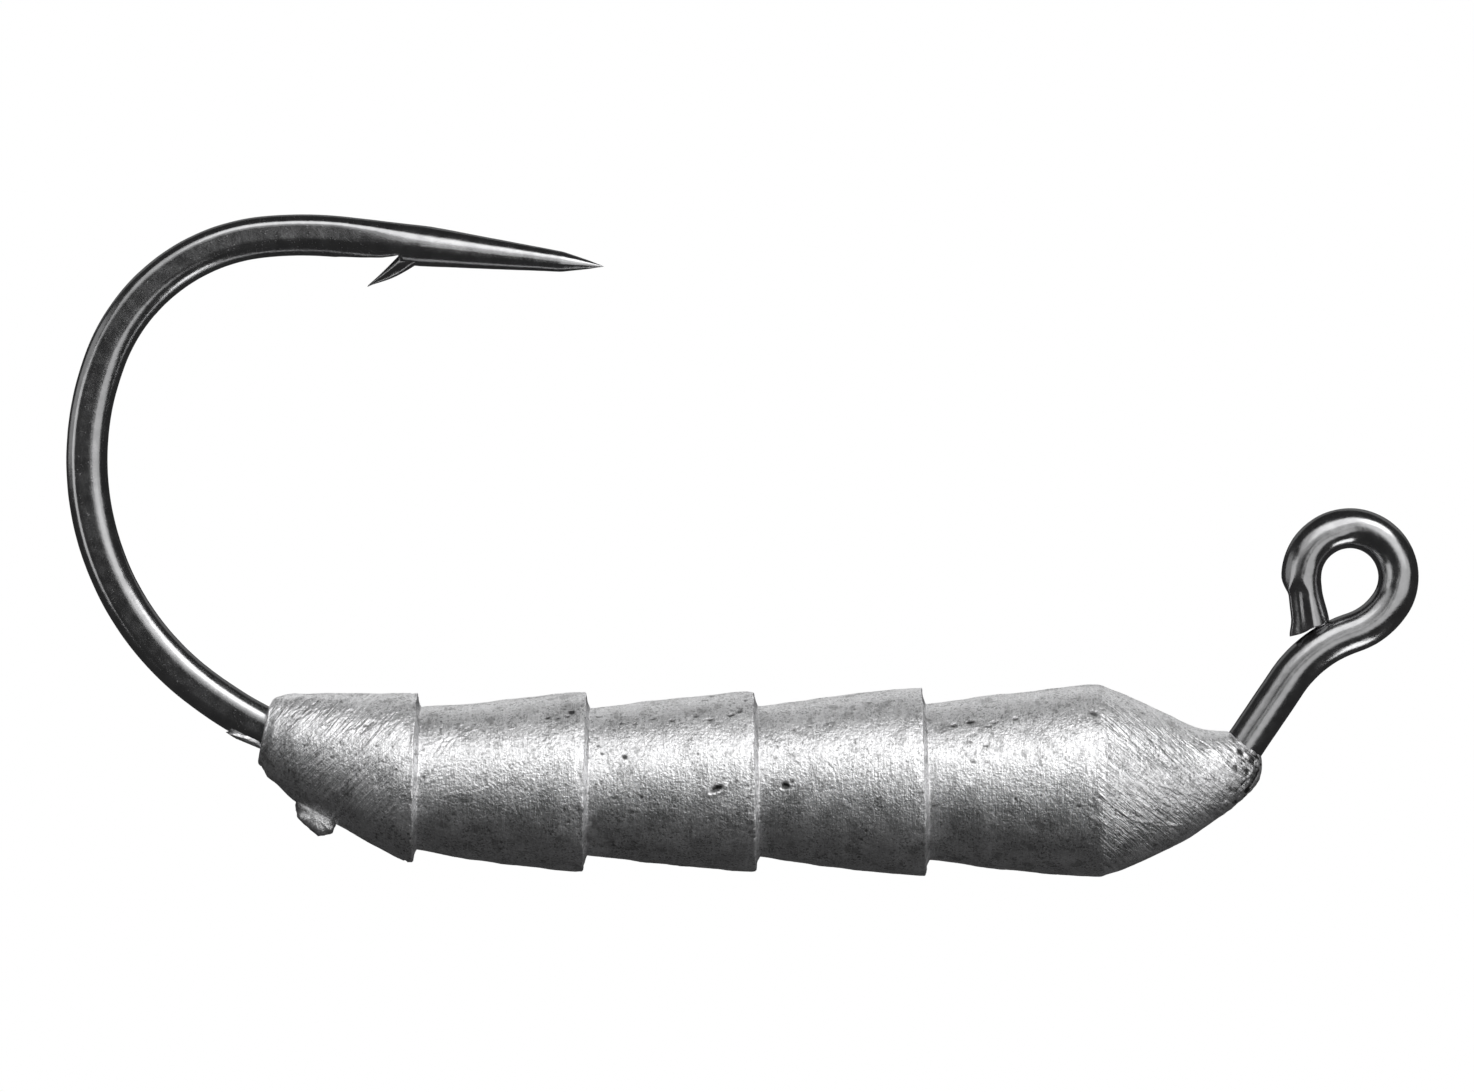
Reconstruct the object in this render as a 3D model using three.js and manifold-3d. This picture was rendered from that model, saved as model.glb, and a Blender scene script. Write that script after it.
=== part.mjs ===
// Jig head: one forged wire hook with a lead keeper barrel cast round its shank.
// Millimetres. +X points along the shank to the line eye, +Z to the hook's point,
// Y = 0 is the plane of the bend, and the origin is the centre of the line eye.

import * as THREE from "three";
import { mergeVertices } from "three/addons/utils/BufferGeometryUtils.js";
import Module from "manifold-3d";

const wasm = await Module();
wasm.setup();

const DEGREE = Math.PI / 180;

// ---- driving dimensions ----

// The wire
const WIRE_RADIUS = 0.7;
const EYE_WIRE_RADIUS = 0.67;
const FORGED_RADIUS = 0.71;
const FORGED_THICKNESS = 1.22; // across the forged flats of the bend
const FORGE_START = 5; // past the start of the bend
const FORGE_BLEND = 4;
const FORGE_SQUARENESS = 2.7; // superellipse power of the forged section

// The eye, from the cut end of the wire round to the stem
const EYE_RADIUS = 1.62;
const EYE_HEADING = 100; // of the cut end's straight, in degrees above +X
const EYE_END = 1.24;
const EYE_TURN = 223;
const EYE_THROAT_RADIUS = 2.4;
const EYE_THROAT_TURN = 39;
const STEM_BEND_RADIUS = 4.2;
const STEM_TURN = 38;
const SHANK_BEND_RADIUS = 1.5;

// The shank and the bend
const SHANK_HEIGHT = -6.53;
const BEND_START = -29.9;
const BEND = [
  { radius: 13.9, turn: -38 },
  { radius: 9.5, turn: -73.4 },
  { radius: 6.3, turn: -62.4 },
  { radius: 12.7, turn: -12.7 },
];

// The point and its barb, measured back from the tip along the point's own axis
const POINT_LENGTH = 8.65;
const TAPER_LENGTH = 6.1;
const TIP_LENGTH = 1.4; // the short, steeper cutting tip
const TIP_RADIUS = 0.34;
const BARB = { root: 5.9, apex: 6.64, apexDepth: 0.36, tip: 7.7, tipDepth: 1.5, width: 0.7 };
const SCOOP = { end: 9.1, depths: [[7.4, 0.54], [8.1, 0.63]], width: 2 }; // cut behind the barb

// The lead barrel
const BARREL_HEIGHT = -6.83;
const TOP_LINE = -3.92; // the tail's straight upper edge
const TAIL = { x: -36.4, radius: 1.18, round: 0.14 };
const TAIL_SWELL = [[-35.47, 1.62], [-33.47, 2.25], [-32, 2.7]]; // [x, radius] on the way up
const KEEPERS = [
  { shoulder: -31.17, crest: 2.81 },
  { shoulder: -25.5, neck: 2.37, crest: 2.97 },
  { shoulder: -19.83, neck: 2.47, crest: 2.98 },
  { shoulder: -14.2, neck: 2.5, crest: 3.12 },
];
const CREST_LAND = 0.3; // cylindrical edge of each keeper
const SHOULDER_FACE = 0.15; // flat rim of each shoulder
const SHOULDER_FILLET = 0.12;
const FLARE_POWER = 1.2;
const NOSE_NECK = 2.59;
const NOSE_CREST = { x: -8.95, radius: 3.17 };
const NOSE_CONE = { from: -8.2, fromRadius: 3.1, to: -4.2, toRadius: 1.3, bulge: 0.08 };
const NOSE_TIP = { x: -2.93, rise: 0.56 };

// The bore that the wire lies in, and the broken stub of the casting gate
const BORE_CLEARANCE = 0.05;
const BORE_LENGTH = 11; // past the start of the bend
const GATE_WIDTH = 0.9;
const GATE_CORNERS = [[-35.1, 0.6], [-34.98, -1.2], [-34.35, -1.75], [-33.87, -1.6], [-33.75, 0.6]];

// Fineness of the faceted surfaces
const WIRE_SIDES = 18;
const BARREL_SIDES = 40;
const BEND_STEP = 7; // degrees of bend between two rows of the wire's surface
const EYE_STEP = 12;

// ---- solids ----

/** Drop everything but positions and weld the seams. */
function weld(geometry) {
  geometry.deleteAttribute("normal");
  geometry.deleteAttribute("uv");
  return mergeVertices(geometry, 1e-5);
}

function toManifold(geometry) {
  const welded = weld(geometry);
  const vertProperties = new Float32Array(welded.attributes.position.array);
  const corners = [];
  const index = welded.index.array;
  for (let i = 0; i < index.length; i += 3) {
    const [a, b, c] = [index[i], index[i + 1], index[i + 2]];
    if (a !== b && b !== c && c !== a) corners.push(a, b, c);
  }
  const triVerts = new Uint32Array(corners);
  return new wasm.Manifold(new wasm.Mesh({ numProp: 3, vertProperties, triVerts }));
}

function toGeometry(manifold) {
  const mesh = manifold.getMesh();
  const geometry = new THREE.BufferGeometry();
  geometry.setAttribute("position", new THREE.BufferAttribute(mesh.vertProperties, 3));
  geometry.setIndex(new THREE.BufferAttribute(mesh.triVerts, 1));
  geometry.computeVertexNormals();
  return geometry;
}

/** Move every vertex of a geometry by a function of its position. */
function reshape(geometry, move) {
  const position = geometry.attributes.position;
  for (let i = 0; i < position.count; i += 1) {
    const [x, y, z] = move(position.getX(i), position.getY(i), position.getZ(i));
    position.setXYZ(i, x, y, z);
  }
  return geometry;
}

/** A flat outline in X and Z, given `width` along Y and centred on Y = 0. */
function plate(outline, width) {
  const shape = new THREE.Shape(outline.map(([x, z]) => new THREE.Vector2(x, z)));
  const geometry = new THREE.ExtrudeGeometry(shape, { depth: width, bevelEnabled: false });
  geometry.rotateX(Math.PI / 2);
  geometry.translate(0, width / 2, 0);
  return geometry;
}

function smoothstep(low, high, value) {
  const t = Math.min(Math.max((value - low) / (high - low), 0), 1);
  return t * t * (3 - 2 * t);
}

// ---- the wire's centreline ----

/** Where a leg of the wire has come to after `distance`. */
function along(leg, distance) {
  const heading = leg.heading + (leg.turn * distance) / leg.span;
  if (leg.turn === 0) {
    const x = leg.x + distance * Math.cos(heading);
    const z = leg.z + distance * Math.sin(heading);
    return { x, z, heading };
  }
  const radius = leg.span / leg.turn;
  const x = leg.x + radius * (Math.sin(heading) - Math.sin(leg.heading));
  const z = leg.z - radius * (Math.cos(heading) - Math.cos(leg.heading));
  return { x, z, heading };
}

/** Chain straights and bends from a starting place: moves are {straight} or {radius, turn}. */
function chain(start, moves) {
  const legs = [];
  let place = start;
  let from = 0;
  for (const move of moves) {
    const turn = (move.turn ?? 0) * DEGREE;
    const span = move.straight ?? move.radius * Math.abs(turn);
    const leg = { ...place, turn, span, from, step: move.step ?? BEND_STEP };
    legs.push(leg);
    place = along(leg, span);
    from += span;
  }
  return { legs, length: from, end: place };
}

/** The heading and place on a route at a distance from its start. */
function placeOn(route, distance) {
  const leg = route.legs.findLast((each) => each.from <= distance) ?? route.legs[0];
  return along(leg, distance - leg.from);
}

/** Distances along a route where its surface needs a row of vertices. */
function rowsOf(route) {
  const rows = [];
  for (const leg of route.legs) {
    const count = Math.max(Math.ceil(Math.abs(leg.turn) / DEGREE / leg.step), 1);
    for (let i = 0; i < count; i += 1) rows.push(leg.from + (leg.span * i) / count);
  }
  return [...rows, route.length];
}

/** The whole wire, from the eye's cut end to the point. */
function wireRoute() {
  const heading = EYE_HEADING * DEGREE;
  const start = {
    x: -EYE_RADIUS * Math.sin(heading) - EYE_END * Math.cos(heading),
    z: EYE_RADIUS * Math.cos(heading) - EYE_END * Math.sin(heading),
    heading,
  };
  const eye = [
    { straight: EYE_END },
    { radius: EYE_RADIUS, turn: -EYE_TURN, step: EYE_STEP },
    { radius: EYE_THROAT_RADIUS, turn: -EYE_THROAT_TURN, step: EYE_STEP },
    { radius: STEM_BEND_RADIUS, turn: STEM_TURN },
  ];
  const stem = chain(start, eye).end;
  const shankTurn = -180 * DEGREE - stem.heading;
  const cornerDrop = SHANK_BEND_RADIUS * (1 - Math.cos(shankTurn));
  const stemLength = (stem.z - cornerDrop - SHANK_HEIGHT) / -Math.sin(stem.heading);
  const corner = [
    { straight: stemLength },
    { radius: SHANK_BEND_RADIUS, turn: shankTurn / DEGREE, step: EYE_STEP },
  ];
  const shank = chain(start, [...eye, ...corner]).end;
  const shankLength = shank.x - BEND_START;
  const moves = [...eye, ...corner, { straight: shankLength }, ...BEND, { straight: POINT_LENGTH }];
  const route = chain(start, moves);
  const stemFrom = route.legs[eye.length - 1].from;
  const bendFrom = route.legs[eye.length + corner.length + 1].from;
  return { ...route, stemFrom, bendFrom };
}

// ---- the hook ----

/** Half the wire's height in the plane of the bend. */
function wireRadius(route, distance) {
  const toTip = route.length - distance;
  if (toTip < TIP_LENGTH) return (TIP_RADIUS * toTip) / TIP_LENGTH;
  if (toTip < TAPER_LENGTH) {
    const t = (toTip - TIP_LENGTH) / (TAPER_LENGTH - TIP_LENGTH);
    return TIP_RADIUS + t * (WIRE_RADIUS - TIP_RADIUS);
  }
  const stem = smoothstep(route.stemFrom, route.stemFrom + 1, distance);
  const round = EYE_WIRE_RADIUS + stem * (WIRE_RADIUS - EYE_WIRE_RADIUS);
  return round + forging(route, distance) * (FORGED_RADIUS - WIRE_RADIUS);
}

/** How much of the forging applies: 0 on the round wire, 1 on the bend. */
function forging(route, distance) {
  const start = route.bendFrom + FORGE_START;
  const end = route.length - POINT_LENGTH;
  const rise = smoothstep(start, start + FORGE_BLEND, distance);
  return rise * (1 - smoothstep(end - FORGE_BLEND / 2, end + FORGE_BLEND / 2, distance));
}

/** A straight round wire up to `last`, fattened by `grow`, turned and then bent along its route. */
function bentWire(route, grow, last) {
  const taperRow = route.length - TAPER_LENGTH;
  const tipRow = route.length - TIP_LENGTH;
  const forgedRow = route.bendFrom + FORGE_START + FORGE_BLEND / 2;
  const rows = [...rowsOf(route), taperRow, tipRow, forgedRow].sort((a, b) => a - b);
  const kept = rows.filter((row) => row < last);
  const skin = kept.map((row) => new THREE.Vector2(wireRadius(route, row) + grow, row));
  const end = kept.length < rows.length - 1 ? kept.at(-1) : route.length;
  const profile = [new THREE.Vector2(0, kept[0]), ...skin, new THREE.Vector2(0, end)];
  const wire = new THREE.LatheGeometry(profile, WIRE_SIDES);
  return reshape(wire, (across, distance, side) => {
    const place = placeOn(route, distance);
    const [u, v] = forgedSection(across, side, forging(route, distance));
    return [place.x - u * Math.sin(place.heading), v, place.z + u * Math.cos(place.heading)];
  });
}

/** Squeeze a point of the round section towards the flat-sided forged one. */
function forgedSection(across, side, forged) {
  const radius = Math.hypot(across, side);
  if (radius < 1e-9 || forged === 0) return [across, side];
  const power = 2 + forged * (FORGE_SQUARENESS - 2);
  const [cos, sin] = [Math.abs(across) / radius, Math.abs(side) / radius];
  const reach = radius / (cos ** power + sin ** power) ** (1 / power);
  const flat = 1 + forged * (FORGED_THICKNESS / 2 / FORGED_RADIUS - 1);
  return [(across / radius) * reach, (side / radius) * reach * flat];
}

/** Turn "back from the tip, below the point's axis" into X and Z. */
function pointFrame(route) {
  const { x, z, heading } = route.end;
  const [cos, sin] = [Math.cos(heading), Math.sin(heading)];
  return (back, below) => [x - back * cos + below * sin, z - back * sin - below * cos];
}

/** The barb: a sliver raised from the underside of the point. */
function barb(route) {
  const at = pointFrame(route);
  const outline = [
    at(BARB.root, WIRE_RADIUS * 0.6),
    at(BARB.root, WIRE_RADIUS * 0.99),
    at(BARB.tip, BARB.tipDepth),
    at(BARB.apex, BARB.apexDepth),
  ];
  return toManifold(plate(outline, BARB.width));
}

/** The shallow scoop that the barb was raised from. */
function scoop(route) {
  const at = pointFrame(route);
  const clear = BARB.tipDepth * 1.2;
  const outline = [
    at(BARB.apex, BARB.apexDepth),
    ...SCOOP.depths.map(([back, depth]) => at(back, depth)),
    at(SCOOP.end, WIRE_RADIUS + 0.03),
    at(SCOOP.end, clear),
    at(BARB.tip, clear),
    at(BARB.tip, BARB.tipDepth),
  ];
  return toManifold(plate(outline, SCOOP.width));
}

function hook(route) {
  const wire = toManifold(bentWire(route, 0, route.length));
  return wire.subtract(scoop(route)).add(barb(route));
}

// ---- the lead body ----

/** The flared stretch from one shoulder's neck up to the next crest. */
function flare(fromX, neck, toX, crest) {
  const steps = 5;
  const outline = [];
  for (let i = 0; i <= steps; i += 1) {
    const t = i / steps;
    const rise = 1 - (1 - t) ** FLARE_POWER;
    outline.push([fromX + t * (toX - fromX), neck + rise * (crest - neck)]);
  }
  return outline;
}

/** The barrel's outline from tail to nose, as [x, radius]. */
function barrelOutline() {
  const [first, ...others] = KEEPERS;
  const outline = [
    [TAIL.x, 0],
    [TAIL.x, TAIL.radius - 2 * TAIL.round],
    [TAIL.x + TAIL.round / 3, TAIL.radius - TAIL.round / 2],
    [TAIL.x + TAIL.round, TAIL.radius],
    ...TAIL_SWELL,
    [first.shoulder - CREST_LAND, first.crest],
  ];
  let previous = first;
  const nose = { shoulder: NOSE_CREST.x + CREST_LAND, neck: NOSE_NECK, crest: NOSE_CREST.radius };
  for (const next of [...others, nose]) {
    const { shoulder, crest } = previous;
    outline.push([shoulder, crest], [shoulder, crest - SHOULDER_FACE]);
    const neckX = shoulder + SHOULDER_FILLET;
    outline.push(...flare(neckX, next.neck, next.shoulder - CREST_LAND, next.crest));
    previous = next;
  }
  const { from, fromRadius, to, toRadius, bulge } = NOSE_CONE;
  for (const t of [0, 0.25, 0.5, 0.75]) {
    const straight = fromRadius + t * (toRadius - fromRadius);
    outline.push([from + t * (to - from), straight + 4 * bulge * t * (1 - t)]);
  }
  for (const angle of [0, 20, 40, 60, 78]) {
    const x = to + (NOSE_TIP.x - to) * Math.sin(angle * DEGREE);
    outline.push([x, toRadius * Math.cos(angle * DEGREE)]);
  }
  outline.push([NOSE_TIP.x, 0]);
  return outline;
}

/** How far the centre of a section of that radius stands above the barrel's axis. */
function centreRise(x, radius) {
  const topAboveAxis = TOP_LINE - BARREL_HEIGHT;
  const tailEnd = KEEPERS[0].shoulder;
  if (x < tailEnd) return topAboveAxis - Math.max(radius, TAIL.radius);
  const settle = 1 - smoothstep(tailEnd, tailEnd + 2, x);
  const noseRise = NOSE_TIP.rise * smoothstep(NOSE_CONE.to - 1.4, NOSE_TIP.x, x);
  return (topAboveAxis - KEEPERS[0].crest) * settle + noseRise;
}

/** The broken stub of the casting gate, under the tail. */
function gate() {
  const outline = GATE_CORNERS.map(([x, height]) => [x, BARREL_HEIGHT + height]);
  return toManifold(plate(outline, GATE_WIDTH));
}

function leadBody(route) {
  const profile = barrelOutline().map(([x, radius]) => new THREE.Vector2(radius, x));
  const barrel = reshape(new THREE.LatheGeometry(profile, BARREL_SIDES), (across, x, side) => {
    return [x, side, BARREL_HEIGHT + centreRise(x, Math.hypot(across, side)) + across];
  });
  const bore = toManifold(bentWire(route, BORE_CLEARANCE, route.bendFrom + BORE_LENGTH));
  return toManifold(barrel).add(gate()).subtract(bore);
}

// ---- assembly ----

function part(name, solid, finish) {
  const material = new THREE.MeshStandardMaterial(finish);
  const mesh = new THREE.Mesh(toGeometry(solid), material);
  mesh.name = name;
  return mesh;
}

const route = wireRoute();
const jigHead = new THREE.Group();
jigHead.add(
  part("hook", hook(route), { color: 0x3a3b3d, roughness: 0.25, metalness: 1 }),
  part("lead_body", leadBody(route), { color: 0x9a9b9c, roughness: 0.5, metalness: 0.8 }),
);

export default jigHead;
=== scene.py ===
"""The looks of a lead jig head: a black-nickel hook with a lead keeper barrel cast on it.

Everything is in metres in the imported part's own frame: +X towards the line eye, +Z towards the
hook's point, Y = 0 the plane of the bend. Lengths below are written in millimetres.
"""
import math

import bpy
import numpy as np
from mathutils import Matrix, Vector


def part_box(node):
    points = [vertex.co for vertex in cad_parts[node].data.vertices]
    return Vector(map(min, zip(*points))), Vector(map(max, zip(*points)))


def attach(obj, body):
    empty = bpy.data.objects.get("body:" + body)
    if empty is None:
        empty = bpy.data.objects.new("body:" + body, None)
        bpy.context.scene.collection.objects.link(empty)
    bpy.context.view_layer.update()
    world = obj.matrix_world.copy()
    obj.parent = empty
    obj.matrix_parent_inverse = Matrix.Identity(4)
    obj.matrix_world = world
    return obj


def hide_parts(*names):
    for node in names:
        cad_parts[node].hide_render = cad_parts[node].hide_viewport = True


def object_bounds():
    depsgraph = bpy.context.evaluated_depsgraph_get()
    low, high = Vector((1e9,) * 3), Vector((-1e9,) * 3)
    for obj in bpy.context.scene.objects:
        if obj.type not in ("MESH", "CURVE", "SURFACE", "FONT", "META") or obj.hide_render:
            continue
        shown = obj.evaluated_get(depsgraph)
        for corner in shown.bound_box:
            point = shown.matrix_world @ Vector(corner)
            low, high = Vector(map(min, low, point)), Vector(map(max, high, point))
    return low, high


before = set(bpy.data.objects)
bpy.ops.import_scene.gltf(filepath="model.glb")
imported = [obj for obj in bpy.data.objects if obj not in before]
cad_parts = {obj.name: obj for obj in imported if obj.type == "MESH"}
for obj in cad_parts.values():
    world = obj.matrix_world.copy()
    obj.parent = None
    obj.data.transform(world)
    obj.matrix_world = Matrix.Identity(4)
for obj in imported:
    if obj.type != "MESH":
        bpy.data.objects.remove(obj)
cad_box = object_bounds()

MM = 0.001
SEED = 11

lead_low, lead_high = (np.array(corner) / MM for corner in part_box("lead_body"))

# ---- the wire, in mm ----
WIRE_RADIUS = 0.7
EYE_WIRE_RADIUS = 0.67
THICKENS = (6.0, 9.0)  # inside the lead, from the start of the stem's bend
FORGED_RADIUS = 0.71
FORGED_THICKNESS = 1.22
FORGE_START = -0.5     # from the start of the bend
FORGE_BLEND = 3.5
FORGE_FADE = (-0.4, 2.9)       # from the start of the straight point
FLAT_OUTER = 0.42      # the forged flat's edges, as shares of the half width
FLAT_INNER = -0.15
FLAT_SPAN = (0.38, 0.52)       # the flat's share of the way round, from outside to inside
EYE_RADIUS = 1.62
EYE_HEADING = 100.0
EYE_END = 1.24
EYE_TURN = 223.0
THROAT_RADIUS = 2.4
THROAT_TURN = 39.0
STEM_BEND_RADIUS = 4.2
STEM_TURN = 38.0
SHANK_BEND_RADIUS = 1.5
SHANK_HEIGHT = -6.53
BEND_START = -29.9
BEND = ((13.9, -38.0), (9.5, -73.4), (6.3, -62.4), (12.7, -12.7))
POINT_LENGTH = 8.65
TAPER_LENGTH = 6.1
TIP_LENGTH = 1.4
TIP_RADIUS = 0.34
POINT_TAPER = ((0.0, 0.004), (0.5, 0.14), (TIP_LENGTH, TIP_RADIUS),
               (TAPER_LENGTH, WIRE_RADIUS - 0.012), (TAPER_LENGTH + 1.2, WIRE_RADIUS))
WIRE_STEP = 0.1
WIRE_SIDES = 72
EYE_END_ZONE = 0.3     # the rings lie closer together at the wire's two ends
POINT_ZONE = 0.4
WIRE_WAVES = (
    # height, cells per mm, octaves, seed
    (0.004, 1.1, 3, SEED), (0.0012, 9.0, 2, SEED + 5),
)
WAVES_FADE = 1.5       # before the point's tip

# ---- the eye's sheared, pinched end, in mm from the cut ----
PINCH_RANGE = (0.95, 1.6)
OUTER_PRESS = 0.25     # how deep the outer side is pressed in
PRESSED_SHARE = 0.15   # what is left of the height that was pressed in
BULGE_RANGE = (0.1, 1.0)
INNER_BULGE = 0.18
FACE_TILT = math.radians(16.0)
FACE_HEIGHT = 0.70
FACE_PRESS = 0.15
FACE_CUT = 0.92        # the share of the height over the face that is taken off
GROOVE_PLACE, GROOVE_WIDTH, GROOVE_DEPTH = 0.17, 0.11, 0.035
FLARE_LENGTH, FLARE = 0.45, 0.3
SWING_LENGTH, SWING = 1.7, 0.1
SLANT_LENGTH, SLANT_BASE, SLANT, RIPPLE, RIPPLE_PITCH = 0.9, 0.13, 0.15, 0.02, 9.0
EYE_LEANS = (
    # where the lean starts and is full, where it starts to go and is gone, its size
    (3.9, 4.5, 6.3, 6.9, 0.15), (1.2, 1.8, 3.6, 4.2, -0.14),
)

# ---- the barb, back from the tip and below the point's axis, in mm ----
BARB_ROOT = 6.15
BARB_APEX = (6.8, 0.37)
BARB_TIP = (7.75, 1.54)
BARB_ROOT_TOP, BARB_ROOT_LOW = 0.30, 0.60
BARB_KNEE = 0.42       # the apex's place along the barb, as a share of its length
BARB_ARCH, BARB_BELLY, BELLY_REACH, BELLY_SHARPNESS = 0.03, 0.09, 1.1, 1.2
BARB_HALF_WIDTH, BARB_TIP_WIDTH, BARB_NARROWING = 0.46, 0.02, 0.8
BARB_SQUARENESS = 0.75
BARB_TIP_SIZE = (0.012, 0.035)
BARB_UNDERCUT = 0.35
BARB_STEPS, BARB_SIDES = 30, 24
SCOOP = ((5.9, 0.9), (6.74, 0.8), BARB_APEX, (7.1, 0.465), (7.42, 0.543), (8.1, 0.62),
         (8.75, 0.67), (9.1, 0.715), (9.6, 0.9))
NO_SCOOP = 2.0

# ---- the lead body, in mm ----
AXIS_HEIGHT = -6.83
TOP_LINE = -3.9
TAIL_X = lead_low[0]
NOSE_X = lead_high[0]
LEAD_SIDES = 380


def smoothstep(low, high, value):
    """A smooth rise from 0 at low to 1 at high."""
    t = np.clip((np.asarray(value, float) - low) / (high - low), 0.0, 1.0)
    return t * t * (3.0 - 2.0 * t)


# ---- noise ----

def lattice(ix, iy, iz, seed):
    """A repeatable random value from 0 to 1 for each corner of a unit lattice."""
    h = ix.astype(np.uint32) * np.uint32(374761393)
    h += iy.astype(np.uint32) * np.uint32(668265263)
    h += iz.astype(np.uint32) * np.uint32(2147483647)
    h += np.uint32(seed * 974711 + 12345)
    h = (h ^ (h >> np.uint32(13))) * np.uint32(1274126177)
    h = h ^ (h >> np.uint32(16))
    return h.astype(np.float64) / 4294967295.0


def noise(points, scale, seed):
    """Smooth noise from -1 to 1 at an (n, 3) array of points; scale is cells per mm."""
    q = points * scale
    base = np.floor(q)
    f = q - base
    f = f * f * (3.0 - 2.0 * f)
    i = base.astype(np.int64)
    total = np.zeros(len(points))
    for dx in (0, 1):
        for dy in (0, 1):
            for dz in (0, 1):
                weight = (np.abs(1 - dx - f[:, 0]) * np.abs(1 - dy - f[:, 1])
                          * np.abs(1 - dz - f[:, 2]))
                total += weight * lattice(i[:, 0] + dx, i[:, 1] + dy, i[:, 2] + dz, seed)
    return total * 2.0 - 1.0


def layered(points, scale, octaves, seed):
    """Noise in octaves, each at twice the scale and half the strength of the one before."""
    total = np.zeros(len(points))
    strength = 1.0
    for octave in range(octaves):
        total += strength * noise(points, scale * 2.0 ** octave, seed + octave)
        strength *= 0.5
    return total


# ---- meshes ----

def tube_quads(count, sides):
    """The faces between neighbouring rings of a tube."""
    i, j = np.meshgrid(np.arange(count - 1), np.arange(sides), indexing="ij")
    nxt = (j + 1) % sides
    quads = np.stack([i * sides + j, i * sides + nxt,
                      (i + 1) * sides + nxt, (i + 1) * sides + j], -1)
    return [tuple(q) for q in quads.reshape(-1, 4).tolist()]


def grid_mesh(name, rows, attributes):
    """A closed tube from rows of rings: rows is (n, sides, 3) in mm."""
    count, sides = rows.shape[:2]
    faces = tube_quads(count, sides)
    centres = [rows[0].mean(axis=0), rows[-1].mean(axis=0)]
    for k in range(sides):
        faces.append((count * sides, (k + 1) % sides, k))
    last = (count - 1) * sides
    for k in range(sides):
        faces.append((count * sides + 1, last + k, last + (k + 1) % sides))
    verts = np.vstack([rows.reshape(-1, 3), centres])
    mesh = bpy.data.meshes.new(name)
    mesh.from_pydata((verts * MM).tolist(), [], faces)
    mesh.polygons.foreach_set("use_smooth", [True] * len(mesh.polygons))
    for key, values in attributes.items():
        layer = mesh.attributes.new(key, "FLOAT", "POINT")
        padded = np.concatenate([values.reshape(-1), np.zeros(len(centres))])
        layer.data.foreach_set("value", padded.astype(np.float32))
    mesh.update()
    return mesh


def add_piece(name, mesh, material, replaced=None):
    """One visible piece, riding on the part's only body."""
    piece = bpy.data.objects.new(name, mesh)
    bpy.context.scene.collection.objects.link(piece)
    mesh.materials.append(material)
    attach(piece, "root")
    if replaced:
        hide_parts(replaced)
    return piece


# ---- the wire's route ----

def along(leg, distance):
    """Place and heading after a distance on one straight or bend of the wire."""
    x, z, heading, turn, span, _ = leg
    now = heading + turn * distance / span
    if turn == 0.0:
        return x + distance * math.cos(now), z + distance * math.sin(now), now
    radius = span / turn
    x += radius * (math.sin(now) - math.sin(heading))
    z -= radius * (math.cos(now) - math.cos(heading))
    return x, z, now


def chain(start, moves):
    """Legs from a starting place: a move is ("straight", length) or (radius, turn in degrees)."""
    legs, place, done = [], start, 0.0
    for first, second in moves:
        turn = 0.0 if first == "straight" else math.radians(second)
        span = second if first == "straight" else first * abs(turn)
        leg = (*place, turn, span, done)
        legs.append(leg)
        place = along(leg, span)
        done += span
    return legs, done, place


def wire_route():
    heading = math.radians(EYE_HEADING)
    start = (-EYE_RADIUS * math.sin(heading) - EYE_END * math.cos(heading),
             EYE_RADIUS * math.cos(heading) - EYE_END * math.sin(heading), heading)
    eye = [("straight", EYE_END), (EYE_RADIUS, -EYE_TURN), (THROAT_RADIUS, -THROAT_TURN),
           (STEM_BEND_RADIUS, STEM_TURN)]
    _, _, stem = chain(start, eye)
    turn = -math.pi - stem[2]
    drop = SHANK_BEND_RADIUS * (1.0 - math.cos(turn))
    stem_length = (stem[1] - drop - SHANK_HEIGHT) / -math.sin(stem[2])
    corner = [("straight", stem_length), (SHANK_BEND_RADIUS, math.degrees(turn))]
    _, _, shank = chain(start, eye + corner)
    shank_move = [("straight", shank[0] - BEND_START)]
    moves = eye + corner + shank_move + list(BEND) + [("straight", POINT_LENGTH)]
    legs, length, end = chain(start, moves)
    return {"legs": legs, "length": length, "end": end, "stem": legs[3][5], "bend": legs[7][5]}


ROUTE = wire_route()


def place_on(distance):
    distance = min(distance, ROUTE["length"] - 1e-6)
    leg = [leg for leg in ROUTE["legs"] if leg[5] <= distance + 1e-9][-1]
    return along(leg, distance - leg[5])


def wire_rows():
    """Distances, places and headings of the wire's rings, closer together near both ends."""
    length = ROUTE["length"]
    inner = np.arange(EYE_END_ZONE, length - POINT_ZONE, WIRE_STEP)
    ends = np.linspace(0.0, EYE_END_ZONE, 8)[:-1]
    tip = length - POINT_ZONE * (1.0 - np.linspace(0.0, 1.0, 16)) ** 1.5
    distances = np.concatenate([ends, inner, tip])
    places = np.array([place_on(distance) for distance in distances])
    return distances, places[:, :2], places[:, 2]


# ---- the wire's section ----

def forging(distance):
    """How flat the wire's sides are hammered, from 0 to 1."""
    start = ROUTE["bend"] + FORGE_START
    end = ROUTE["length"] - POINT_LENGTH
    rise = smoothstep(start, start + FORGE_BLEND, distance)
    return rise * (1.0 - smoothstep(end + FORGE_FADE[0], end + FORGE_FADE[1], distance))


def wire_radius(distance):
    in_lead = smoothstep(ROUTE["stem"] + THICKENS[0], ROUTE["stem"] + THICKENS[1], distance)
    body = EYE_WIRE_RADIUS + in_lead * (WIRE_RADIUS - EYE_WIRE_RADIUS)
    body += forging(distance) * (FORGED_RADIUS - WIRE_RADIUS)
    taper = np.interp(ROUTE["length"] - distance, *zip(*POINT_TAPER))
    return np.minimum(body, taper)


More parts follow.
